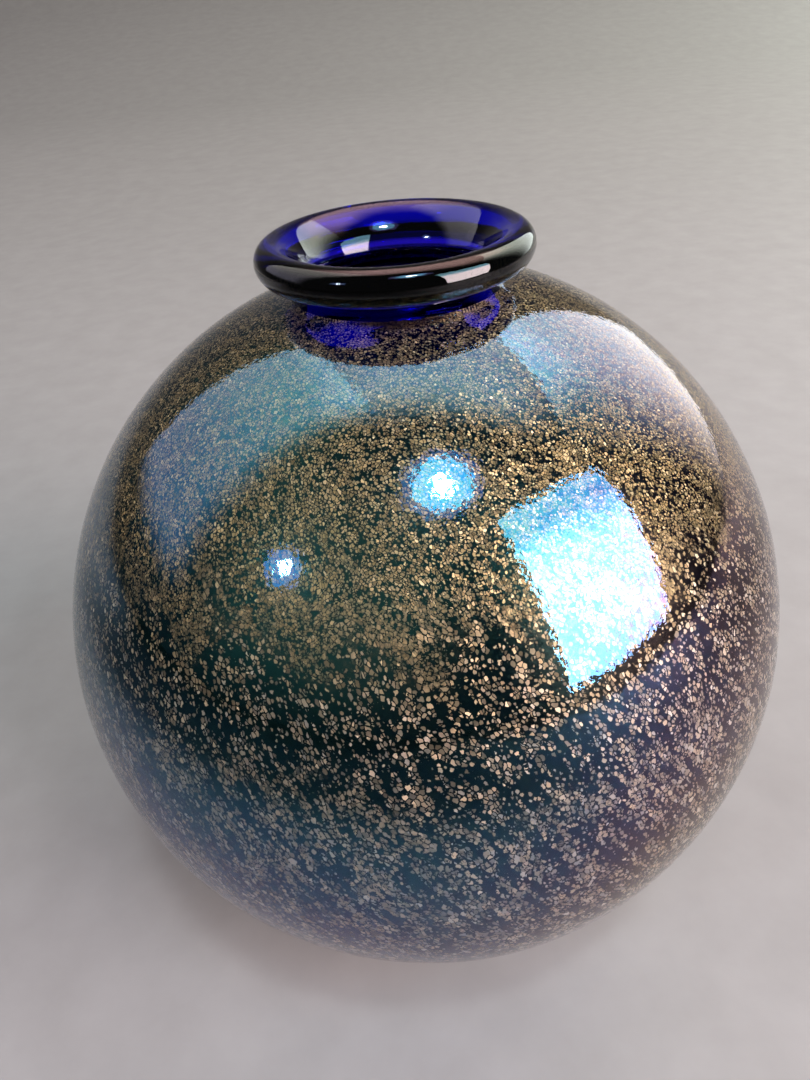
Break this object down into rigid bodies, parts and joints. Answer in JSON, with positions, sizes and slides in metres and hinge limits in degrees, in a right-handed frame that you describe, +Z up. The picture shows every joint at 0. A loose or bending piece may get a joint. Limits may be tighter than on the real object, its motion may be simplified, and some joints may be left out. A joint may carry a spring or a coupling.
{
  "type": "blown glass vase",
  "caption": "Round globe vase in layered blown glass: crackled metal leaf under a clear iridised casing, with a short neck and a flared cobalt lip.",
  "frame": {"origin": "centre of the base, on the plane that the vase stands on", "axes": "+Z up along the vase's axis, -Y towards the side that faces the viewer"},
  "size_m": [0.13, 0.13, 0.1312],
  "materials": {
    "clear_glass": "polished clear glass with a thin iridescent film",
    "metal_leaf": "silver to champagne leaf crackled into small flakes",
    "dark_cobalt_glass": "polished, almost black",
    "cobalt_glass": "polished, deep blue where it is thin"
  },
  "bodies": {
    "root": {"clear_casing": "clear_glass", "leaf_sheet_front": "metal_leaf", "leaf_sheet_right": "metal_leaf", "leaf_sheet_back": "metal_leaf", "leaf_sheet_left": "metal_leaf", "cobalt_bubble": "dark_cobalt_glass", "mouth_collar": "cobalt_glass", "lip_bead": "cobalt_glass"}
  },
  "joints": []
}
